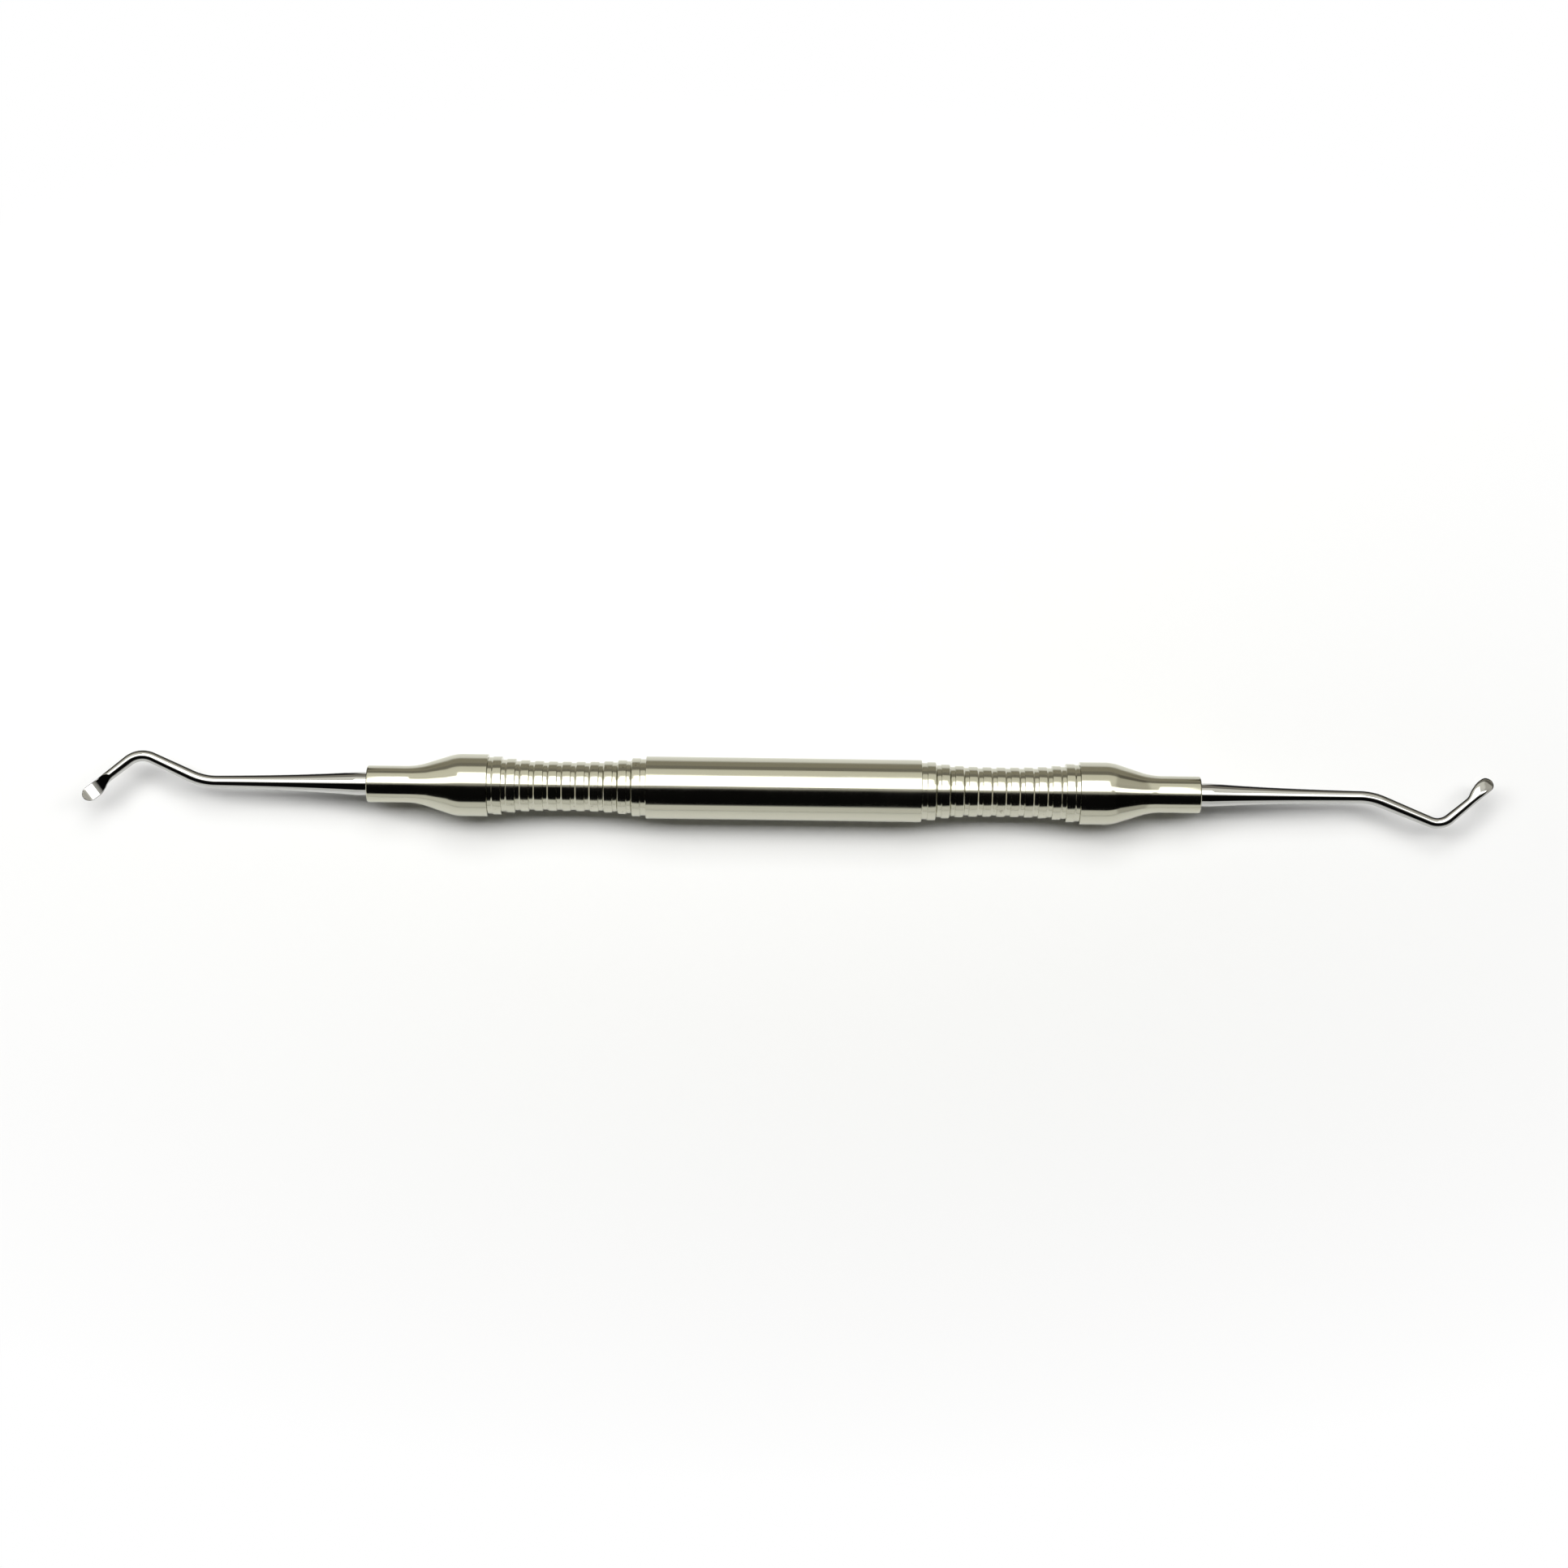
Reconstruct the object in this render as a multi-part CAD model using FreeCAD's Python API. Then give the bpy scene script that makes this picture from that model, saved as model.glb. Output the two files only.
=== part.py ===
"""Double-ended dental hand instrument with a spoon blade at each end.

A hollow handle tube with two waisted, grooved grips takes a pressed-in nose cone at each end.
Each nose cone holds the tang of a one-piece working end: tapered shank, two bends, round-toed spoon.

Millimetres. +X runs along the handle, +Z is up as the instrument lies on a table, and the origin is
the middle of the handle axis. Both working ends are bent in the XY plane.
"""

import FreeCAD, Part
import math
import os
from dataclasses import dataclass

Vector = FreeCAD.Vector
ORIGIN = Vector(0, 0, 0)
AXIS_X = Vector(1, 0, 0)
AXIS_Y = Vector(0, 1, 0)
AXIS_Z = Vector(0, 0, 1)

# Handle tube
handle_r = 4.0
barrel_length = 35.2
tube_bore_r = 2.3

# Waisted grips: lands standing between trapezoidal grooves
grip_length = 20.2
groove_count = 12
groove_width = 0.72
groove_slant = 0.18
waist_land_r = 3.18
land_rise = 0.56
groove_depth = 0.15
groove_depth_rise = 0.10

# Nose cones
shoulder_length = 3.2
cone_slope = math.radians(18)
shoulder_blend_r = 6.0
nose_blend_r = 9.0
nose_r = 2.36
nose_edge = 0.2
cone_overall = 15.5
spigot_length = 6.0
spigot_chamfer = 0.3
tang_bore_r = 1.5
mouth_chamfer = 0.15

# Working ends, shared by both
tang_length = 13.0
collar_length = 1.3
taper_pull_x = 9.0
taper_pull_r = 0.95
bend_r_first = 8.0

# Spoon blade, seen from the side: a convex lip, then a hollow-ground bowl
lip_r = 0.5
lip_slope = math.radians(30)
bowl_r = 3.75
toe_slope = math.radians(38)
bowl_overrun = 8.0
toe_thickness = 0.3
back_straight = 1.6
back_sweep = 65.0

# Spoon blade, seen on its face
blade_width = 1.92
edge_inset = 0.03
flare_start = 0.15
flare_end = 2.7
root_length = 2.2
root_tip_r = 0.38
belly_sag = 0.22

half_barrel = barrel_length / 2
tube_half = half_barrel + grip_length
handle_half = tube_half + cone_overall


@dataclass
class WorkingEnd:
    """Bends and shank radii of one working end, measured outwards from the nose face."""

    first_corner: float
    second_leg: float
    second_leg_angle: float
    third_leg: float
    third_leg_angle: float
    bend_r_second: float
    shank_r: float
    apex_r: float
    neck_r: float
    roll: float


left_end = WorkingEnd(
    first_corner=21.1,
    second_leg=8.9,
    second_leg_angle=24.4,
    third_leg=9.2,
    third_leg_angle=38.4,
    bend_r_second=3.0,
    shank_r=0.79,
    apex_r=0.71,
    neck_r=0.66,
    roll=0.0,
)
right_end = WorkingEnd(
    first_corner=21.9,
    second_leg=9.66,
    second_leg_angle=21.8,
    third_leg=8.85,
    third_leg_angle=40.3,
    bend_r_second=2.5,
    shank_r=0.80,
    apex_r=0.69,
    neck_r=0.61,
    roll=15.0,
)


def polar(angle, length=1.0):
    """A vector in the XY plane at an angle in degrees from +X."""
    return Vector(length * math.cos(math.radians(angle)), length * math.sin(math.radians(angle)), 0)


def arc(centre, radius, start, end):
    """An arc in the XY plane about a centre, between two angles in degrees."""
    points = [centre + polar(a, radius) for a in (start, (start + end) / 2, end)]
    return Part.Arc(*points).toShape()


def closed_face(edges):
    """A face from edges that run end to end, closed by one straight line."""
    start = edges[0].firstVertex(True).Point
    end = edges[-1].lastVertex(True).Point
    return Part.Face(Part.Wire(edges + [Part.makeLine(end, start)]))


def lines(points):
    """Straight edges through (x, y) points."""
    spots = [Vector(x, y, 0) for x, y in points]
    return [Part.makeLine(a, b) for a, b in zip(spots, spots[1:])]


def turned(edges):
    """A solid of revolution about the X axis from a closed (x, radius) outline."""
    return closed_face(edges).revolve(ORIGIN, AXIS_X, 360)


def land_radius(position):
    """Radius of the grip's envelope, where the outermost lands stand at -1 and 1."""
    return waist_land_r + land_rise * abs(position) ** 3


def floor_radius(position):
    """Radius at the bottom of a groove."""
    return land_radius(position) - groove_depth - groove_depth_rise * position**2


def grip_outline():
    """Outline of one grip as (distance from the barrel, radius), from the barrel to the shoulder."""
    land_count = groove_count - 1
    land_length = (grip_length - groove_count * groove_width) / land_count
    pitch = groove_width + land_length
    points = []
    for i in range(groove_count):
        position = (2 * i / land_count - 1) * groove_count / land_count
        floor = floor_radius(position)
        start = i * pitch
        points.append((start + (groove_slant if i else 0), floor))
        points.append((start + groove_width, floor))
        if i < land_count:
            land = land_radius(2 * i / (land_count - 1) - 1)
            points.append((start + groove_width, land))
            points.append((start + pitch, land))
    return points


def make_handle_tube():
    """The hollow tube: plain barrel, and a grooved grip on each side of it."""
    grip = [(half_barrel + x, r) for x, r in grip_outline()]
    right = [(half_barrel, handle_r)] + grip + [(tube_half, tube_bore_r)]
    left = [(-x, r) for x, r in reversed(right)]
    return turned(lines(left + right))


def make_nose_cone():
    """A nose cone at the +X end: spigot, shoulder, S-shaped cone, slim nose, tang bore."""
    rise = 1 - math.cos(cone_slope)
    run = math.sin(cone_slope)
    drop = handle_r - nose_r
    flank = (drop - (shoulder_blend_r + nose_blend_r) * rise) / run
    slope = math.degrees(cone_slope)
    cone_start = tube_half + shoulder_length
    convex_centre = Vector(cone_start, handle_r - shoulder_blend_r, 0)
    convex = arc(convex_centre, shoulder_blend_r, 90, 90 - slope)
    flank_start = convex_centre + polar(90 - slope, shoulder_blend_r)
    flank_end = flank_start + polar(-slope, flank)
    concave_centre = flank_end + polar(90 - slope, nose_blend_r)
    concave = arc(concave_centre, nose_blend_r, 270 - slope, 270)
    nose_start = concave_centre.x
    inside = tube_half - spigot_length
    body = lines(
        [
            (inside, tang_bore_r),
            (inside, tube_bore_r - spigot_chamfer),
            (inside + spigot_chamfer, tube_bore_r),
            (tube_half, tube_bore_r),
            (tube_half, handle_r),
            (cone_start, handle_r),
        ]
    )
    tip_edge = arc(Vector(handle_half - nose_edge, nose_r - nose_edge, 0), nose_edge, 90, 0)
    nose = lines([(nose_start, nose_r), (handle_half - nose_edge, nose_r)])
    mouth = lines(
        [
            (handle_half, nose_r - nose_edge),
            (handle_half, tang_bore_r + mouth_chamfer),
            (handle_half - mouth_chamfer, tang_bore_r),
        ]
    )
    straight_flank = Part.makeLine(flank_start, flank_end)
    return turned(body + [convex, straight_flank, concave] + nose + [tip_edge] + mouth)


def make_first_leg(end, reach):
    """Tang, collar and tapering shank up to the start of the first bend, along +X from the nose."""
    taper = Part.BezierCurve()
    taper.setPoles(
        [
            Vector(collar_length, tang_bore_r, 0),
            Vector(taper_pull_x, taper_pull_r, 0),
            Vector(reach, end.shank_r, 0),
        ]
    )
    tang = lines([(-tang_length, 0), (-tang_length, tang_bore_r), (collar_length, tang_bore_r)])
    foot = lines([(reach, end.shank_r), (reach, 0)])
    return turned(tang + [taper.toShape()] + foot)


def make_bend(start, heading, turn, bend_r, wire_r):
    """A round bend in the XY plane that turns the heading by a signed angle in degrees."""
    side = math.copysign(1, turn)
    centre = start + polar(heading + 90 * side, bend_r)
    disc = Part.Face(Part.Wire(Part.makeCircle(wire_r, start, polar(heading))))
    return disc.revolve(centre, AXIS_Z, turn)


def side_prism(edges):
    """A prism right across the blade from an outline drawn side-on, with its heights as Y."""
    side_on = closed_face(edges)
    side_on.rotate(ORIGIN, AXIS_X, 90)
    side_on.translate(Vector(0, 2 * blade_width, 0))
    return side_on.extrude(Vector(0, -4 * blade_width, 0))


def make_belly(neck_r, outer, toe_back):
    """The rounded back of the spoon: straight below the neck, then curling up to the toe."""
    run = toe_back.x - back_straight
    rise = toe_back.y + neck_r
    back_r = (run**2 + rise**2) / (2 * rise)
    inner = outer - blade_width
    edge_z = belly_sag - neck_r
    top_z = back_r / 2
    section = closed_face(
        [
            Part.Arc(
                Vector(back_straight, outer, edge_z),
                Vector(back_straight, (outer + inner) / 2, -neck_r),
                Vector(back_straight, inner, edge_z),
            ).toShape(),
            Part.makeLine(Vector(back_straight, inner, edge_z), Vector(back_straight, inner, top_z)),
            Part.makeLine(Vector(back_straight, inner, top_z), Vector(back_straight, outer, top_z)),
        ]
    )
    curl = section.revolve(Vector(back_straight, 0, back_r - neck_r), -AXIS_Y, back_sweep)
    return curl.fuse(section.extrude(Vector(-back_straight, 0, 0)))


def make_face_prism(outer, toe_x):
    """A prism along Z with the outline of the blade's face: flare, straight sides, round toe."""
    inner = outer - blade_width
    toe_centre = toe_x - blade_width / 2
    middle = (flare_start + flare_end) / 2
    round_toe = arc(Vector(toe_centre, (outer + inner) / 2, 0), blade_width / 2, 90, -90)
    flare = Part.BezierCurve()
    flare.setPoles(
        [
            Vector(flare_end, inner, 0),
            Vector(middle, inner, 0),
            Vector(middle, -outer, 0),
            Vector(flare_start, -outer, 0),
        ]
    )
    outer_side = lines([(flare_start, outer), (toe_centre, outer)])
    inner_side = lines([(toe_centre, inner), (flare_end, inner)])
    face_on = closed_face(outer_side + [round_toe] + inner_side + [flare.toShape()])
    face_on.translate(Vector(0, 0, -2 * blade_width))
    return face_on.extrude(Vector(0, 0, 4 * blade_width))


def make_blade(neck_r):
    """The spoon in its own frame: +X towards the toe, +Y its outer side, +Z out of the bowl."""
    lip_turn = math.degrees(lip_slope)
    toe_turn = math.degrees(toe_slope)
    lip_centre = Vector(0, neck_r - lip_r, 0)
    bowl_centre = lip_centre + polar(90 - lip_turn, lip_r + bowl_r)
    lip = arc(lip_centre, lip_r, 90, 90 - lip_turn)
    bowl = arc(bowl_centre, bowl_r, 270 - lip_turn, 270 + toe_turn + bowl_overrun)
    toe = bowl_centre + polar(270 + toe_turn, bowl_r)
    toe_back = toe - Vector(0, toe_thickness, 0)
    past_toe = bowl_centre + polar(270 + toe_turn + bowl_overrun, bowl_r)
    ceiling = 3 * blade_width
    outer = neck_r - edge_inset
    above = side_prism([lip, bowl] + lines([(past_toe.x, past_toe.y), (past_toe.x, ceiling), (0, ceiling)]))
    plate = make_belly(neck_r, outer, toe_back).common(make_face_prism(outer, toe.x))
    root = Part.makeCone(neck_r, root_tip_r, root_length, ORIGIN, AXIS_X)
    return plate.fuse(root).cut(above)


def make_working_end(end):
    """A working end in its own frame: +X out of the nose, first bend towards +Y."""
    first_turn = end.second_leg_angle
    second_turn = end.second_leg_angle + end.third_leg_angle
    first_tangent = bend_r_first * math.tan(math.radians(first_turn / 2))
    second_tangent = end.bend_r_second * math.tan(math.radians(second_turn / 2))
    second_heading = end.second_leg_angle
    third_heading = -end.third_leg_angle
    corner_one = Vector(end.first_corner, 0, 0)
    corner_two = corner_one + polar(second_heading, end.second_leg)
    blade_reach = lip_r * math.sin(lip_slope) + bowl_r * (math.sin(lip_slope) + math.sin(toe_slope))
    neck = corner_two + polar(third_heading, end.third_leg - blade_reach)

    reach = end.first_corner - first_tangent
    leg_two = corner_one + polar(second_heading, first_tangent)
    leg_two_end = corner_two - polar(second_heading, second_tangent)
    leg_three = corner_two + polar(third_heading, second_tangent)
    pieces = [
        make_bend(Vector(reach, 0, 0), 0, first_turn, bend_r_first, end.shank_r),
        Part.makeCone(
            end.shank_r, end.apex_r, (leg_two_end - leg_two).Length, leg_two, polar(second_heading)
        ),
        make_bend(leg_two_end, second_heading, -second_turn, end.bend_r_second, end.apex_r),
        Part.makeCone(end.apex_r, end.neck_r, (neck - leg_three).Length, leg_three, polar(third_heading)),
    ]
    blade = make_blade(end.neck_r)
    blade.rotate(ORIGIN, AXIS_X, -end.roll)
    blade.rotate(ORIGIN, AXIS_Z, third_heading)
    blade.translate(neck)
    whole = make_first_leg(end, reach).fuse(pieces + [blade]).removeSplitter()
    return whole.Solids[0] if len(whole.Solids) == 1 else whole


def place_right(shape):
    """Turns an end's own frame about X and moves it to the +X nose, so its first bend goes to -Y."""
    shape.rotate(ORIGIN, AXIS_X, 180)
    shape.translate(Vector(handle_half, 0, 0))
    return shape


def place_left(shape):
    """Mirrors an end onto the -X nose, so its first bend goes to +Y and its bowl faces up."""
    placed = shape.mirror(ORIGIN, AXIS_X)
    placed.translate(Vector(-handle_half, 0, 0))
    return placed


nodes = {
    "handle_tube": make_handle_tube(),
    "nose_cone_left": make_nose_cone().mirror(ORIGIN, AXIS_X),
    "nose_cone_right": make_nose_cone(),
    "working_end_left": place_left(make_working_end(left_end)),
    "working_end_right": place_right(make_working_end(right_end)),
}

os.makedirs("parts", exist_ok=True)
for name, shape in nodes.items():
    shape.exportStep(f"parts/{name}.step")
    box = shape.BoundBox
    print(
        f"{name}: {len(shape.Solids)} solid, valid {shape.isValid()}, {shape.Volume:.2f} mm3,"
        f" X {box.XMin:.2f}..{box.XMax:.2f}, Y {box.YMin:.2f}..{box.YMax:.2f}, Z {box.ZMin:.2f}..{box.ZMax:.2f}"
    )
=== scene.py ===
"""Looks of a double-ended dental hand instrument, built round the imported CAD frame.

A hollow turned handle with two grooved grips carries a nose cone and a bent, spoon-tipped shank at
each end. Every piece is closed, in metres, and stands where its CAD node stands.
"""

import logging
import math
from dataclasses import dataclass
from enum import Enum

import bmesh
import bpy
from mathutils import Matrix, Vector


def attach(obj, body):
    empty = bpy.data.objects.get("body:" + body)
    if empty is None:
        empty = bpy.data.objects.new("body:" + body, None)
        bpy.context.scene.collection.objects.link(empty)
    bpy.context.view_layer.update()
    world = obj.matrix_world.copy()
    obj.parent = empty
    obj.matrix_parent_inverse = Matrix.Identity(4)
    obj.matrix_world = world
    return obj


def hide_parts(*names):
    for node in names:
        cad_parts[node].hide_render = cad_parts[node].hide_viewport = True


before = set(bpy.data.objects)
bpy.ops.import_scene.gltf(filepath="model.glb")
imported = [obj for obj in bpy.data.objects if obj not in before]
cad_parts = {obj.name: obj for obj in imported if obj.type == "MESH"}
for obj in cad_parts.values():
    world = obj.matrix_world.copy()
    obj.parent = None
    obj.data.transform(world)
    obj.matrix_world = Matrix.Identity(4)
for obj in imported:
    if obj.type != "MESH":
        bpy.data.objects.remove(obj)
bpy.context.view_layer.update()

LOG = logging.getLogger("hand_instrument")
MM = 0.001
MERGE_REACH = 1e-4  # Vertices nearer than this, in millimetres, are one.


class Side(Enum):
    """The end of the handle that a piece belongs to."""

    LEFT = "left"
    RIGHT = "right"


class Slot(Enum):
    """The record's material slots."""

    HANDLE = "handle_steel"
    MIRROR = "mirror_steel"


Outline = list[tuple[float, float]]
Colour = tuple[float, float, float, float]

BLACK: Colour = (0, 0, 0, 1)
WHITE: Colour = (1, 1, 1, 1)


# ---------------------------------------------------------------------------- finishes


def linear(code: str) -> Colour:
    """Turns an sRGB hex colour into linear light.

    Args:
        code: The colour as "#RRGGBB".

    Returns:
        Red, green, blue and an alpha of 1.
    """
    channels = [int(code[i : i + 2], 16) / 255 for i in (1, 3, 5)]
    light = [c / 12.92 if c <= 0.04045 else ((c + 0.055) / 1.055) ** 2.4 for c in channels]
    return (light[0], light[1], light[2], 1.0)


def add_node(
    tree: bpy.types.NodeTree, kind: str, settings: dict | None = None, **inputs: object
) -> bpy.types.Node:
    """Adds a node, sets its properties and fills or links its inputs.

    Args:
        tree: The node tree it goes in.
        kind: The node's type name.
        settings: Properties of the node, by name.
        **inputs: Values or output sockets by input name, with _ for a space, or in0, in1 by place.

    Returns:
        The new node.
    """
    node = tree.nodes.new(kind)
    for name, value in (settings or {}).items():
        setattr(node, name, value)
    for name, value in inputs.items():
        by_place = name.startswith("in") and name[2:].isdigit()
        key = int(name[2:]) if by_place else name.replace("_", " ")
        socket = node.inputs[key]
        if isinstance(value, bpy.types.NodeSocket):
            tree.links.new(value, socket)
        else:
            socket.default_value = value
    return node


def fill_ramp(node: bpy.types.Node, stops: list[tuple[float, Colour]]) -> bpy.types.Node:
    """Gives a colour ramp its stops.

    Args:
        node: The colour ramp node.
        stops: Positions from 0 to 1 with linear colours, in order.

    Returns:
        The same node.
    """
    elements = node.color_ramp.elements
    while len(elements) > 1:
        elements.remove(elements[-1])
    elements[0].position, elements[0].color = stops[0]
    for position, colour in stops[1:]:
        elements.new(position).color = colour
    return node


@dataclass(frozen=True)
class TurnedSteel:
    """Stainless steel, lathe-turned and polished: faint rings round the axis, warm reflections."""

    name: str = "stainless_steel_turned_polished"
    colour: str = "#BFBEAE"
    stain: str = "#8F897A"
    roughness: float = 0.11
    roughness_swing: float = 0.05
    ring_pitch_mm: float = 0.16
    ring_change_per_m: float = 12.0
    haze_mm: float = 9.0
    speck_mm: float = 0.55
    specks_show: tuple[float, float] = (0.60, 0.70)
    patches_show: tuple[float, float] = (0.47, 0.60)
    bump_mm: float = 0.0012
    grip_from_mm: float = 17.6
    grip_to_mm: float = 37.8

    def make(self) -> bpy.types.Material:
        """Builds the material.

        Returns:
            The material, with its pattern on object coordinates in metres.
        """
        material = bpy.data.materials.new(self.name)
        material.use_nodes = True
        tree = material.node_tree
        tree.nodes.clear()
        place = add_node(tree, "ShaderNodeTexCoord").outputs["Object"]
        # Turning marks vary along the axis and hardly at all round it. Real ones are some 0.05 mm
        # apart, too fine to show, so they are drawn coarser.
        change = self.ring_change_per_m
        along = add_node(
            tree,
            "ShaderNodeMapping",
            Vector=place,
            Scale=(1 / (self.ring_pitch_mm * MM), change, change),
        )
        rings = add_node(
            tree,
            "ShaderNodeTexNoise",
            Vector=along.outputs[0],
            Scale=1.0,
            Detail=3.0,
            Roughness=0.6,
        )
        haze = add_node(
            tree,
            "ShaderNodeTexNoise",
            Vector=place,
            Scale=1 / (self.haze_mm * MM),
            Detail=4.0,
            Roughness=0.6,
        )
        swing = add_node(
            tree,
            "ShaderNodeMapRange",
            Value=haze.outputs[0],
            From_Min=0.3,
            From_Max=0.7,
            To_Min=self.roughness - self.roughness_swing / 2,
            To_Max=self.roughness + self.roughness_swing,
        )
        specks = add_node(
            tree,
            "ShaderNodeTexNoise",
            Vector=place,
            Scale=1 / (self.speck_mm * MM),
            Detail=5.0,
            Roughness=0.7,
        )
        sparse = fill_ramp(
            add_node(tree, "ShaderNodeValToRGB", Fac=specks.outputs[0]),
            [(self.specks_show[0], BLACK), (self.specks_show[1], WHITE)],
        )
        patches = fill_ramp(
            add_node(tree, "ShaderNodeValToRGB", Fac=haze.outputs[0]),
            [(self.patches_show[0], BLACK), (self.patches_show[1], WHITE)],
        )
        stained = add_node(
            tree,
            "ShaderNodeMath",
            {"operation": "MULTIPLY"},
            in0=sparse.outputs[0],
            in1=patches.outputs[0],
        )
        gripped = add_node(
            tree,
            "ShaderNodeMath",
            {"operation": "MULTIPLY"},
            in0=stained.outputs[0],
            in1=self._grip_mask(tree, place),
        )
        tint = add_node(
            tree,
            "ShaderNodeMix",
            {"data_type": "RGBA"},
            in0=gripped.outputs[0],
            in6=linear(self.colour),
            in7=linear(self.stain),
        )
        bump = add_node(
            tree,
            "ShaderNodeBump",
            Height=rings.outputs[0],
            Strength=0.35,
            Distance=self.bump_mm * MM,
        )
        shader = add_node(
            tree,
            "ShaderNodeBsdfPrincipled",
            Base_Color=tint.outputs[2],
            Metallic=1.0,
            Roughness=swing.outputs[0],
            Normal=bump.outputs[0],
        )
        add_node(tree, "ShaderNodeOutputMaterial", Surface=shader.outputs[0])
        return material

    def _grip_mask(
        self, tree: bpy.types.NodeTree, place: bpy.types.NodeSocket
    ) -> bpy.types.NodeSocket:
        """Marks the two grips, where handling leaves small stains.

        Args:
            tree: The material's node tree.
            place: Object coordinates.

        Returns:
            A value of 1 on the grips and 0 elsewhere.
        """
        axis = add_node(tree, "ShaderNodeSeparateXYZ", Vector=place)
        reach = add_node(tree, "ShaderNodeMath", {"operation": "ABSOLUTE"}, in0=axis.outputs[0])
        middle = (self.grip_from_mm + self.grip_to_mm) / 2 * MM
        half = (self.grip_to_mm - self.grip_from_mm) / 2 * MM
        return add_node(
            tree,
            "ShaderNodeMath",
            {"operation": "COMPARE"},
            in0=reach.outputs[0],
            in1=middle,
            in2=half,
        ).outputs[0]


@dataclass(frozen=True)
class MirrorSteel:
    """Hardened stainless steel, mirror-buffed: sharp neutral reflections, hair-fine marks."""

    name: str = "stainless_steel_mirror_buffed"
    colour: str = "#C0C0BE"
    roughness: float = 0.035
    roughness_swing: float = 0.03
    haze_mm: float = 3.0
    scratch_mm: float = 0.07
    scratch_change_per_m: float = 60.0
    bump_mm: float = 0.0004

    def make(self) -> bpy.types.Material:
        """Builds the material.

        Returns:
            The material, with its pattern on object coordinates in metres.
        """
        material = bpy.data.materials.new(self.name)
        material.use_nodes = True
        tree = material.node_tree
        tree.nodes.clear()
        place = add_node(tree, "ShaderNodeTexCoord").outputs["Object"]
        haze = add_node(
            tree,
            "ShaderNodeTexNoise",
            Vector=place,
            Scale=1 / (self.haze_mm * MM),
            Detail=3.0,
            Roughness=0.6,
        )
        swing = add_node(
            tree,
            "ShaderNodeMapRange",
            Value=haze.outputs[0],
            From_Min=0.35,
            From_Max=0.7,
            To_Min=self.roughness,
            To_Max=self.roughness + self.roughness_swing,
        )
        # Buffing runs along the shank, so the marks are long in X. Real ones are some 0.01 mm wide,
        # too fine to show, so they are drawn coarser.
        across = 1 / (self.scratch_mm * MM)
        along = add_node(
            tree,
            "ShaderNodeMapping",
            Vector=place,
            Scale=(self.scratch_change_per_m, across, across),
        )
        scratches = add_node(
            tree,
            "ShaderNodeTexNoise",
            Vector=along.outputs[0],
            Scale=1.0,
            Detail=2.0,
            Roughness=0.5,
        )
        bump = add_node(
            tree,
            "ShaderNodeBump",
            Height=scratches.outputs[0],
            Strength=0.2,
            Distance=self.bump_mm * MM,
        )
        shader = add_node(
            tree,
            "ShaderNodeBsdfPrincipled",
            Base_Color=linear(self.colour),
            Metallic=1.0,
            Roughness=swing.outputs[0],
            Normal=bump.outputs[0],
        )
        add_node(tree, "ShaderNodeOutputMaterial", Surface=shader.outputs[0])
        return material


# ---------------------------------------------------------------------------- modelling tools


def polar(angle: float, length: float = 1.0) -> Vector:
    """A vector in the XY plane.

    Args:
        angle: Degrees from +X.
        length: The vector's length.

    Returns:
        The vector.
    """
    turn = math.radians(angle)
    return Vector((length * math.cos(turn), length * math.sin(turn), 0))


def arc_points(
    centre: tuple[float, float], radius: float, start: float, end: float, steps: int
) -> Outline:
    """Points along an arc.

    Args:
        centre: The arc's centre, as (x, radius from the axis).
        radius: The arc's radius.
        start: First angle in degrees.
        end: Last angle in degrees.
        steps: How many chords the arc has.

    Returns:
        steps + 1 points, from start to end.
    """
    angles = [math.radians(start + (end - start) * i / steps) for i in range(steps + 1)]
    return [(centre[0] + radius * math.cos(a), centre[1] + radius * math.sin(a)) for a in angles]


def smooth(value: float) -> float:
    """Eases from 0 to 1 between values of 0 and 1."""
    t = min(1.0, max(0.0, value))
    return t * t * (3 - 2 * t)


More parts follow.
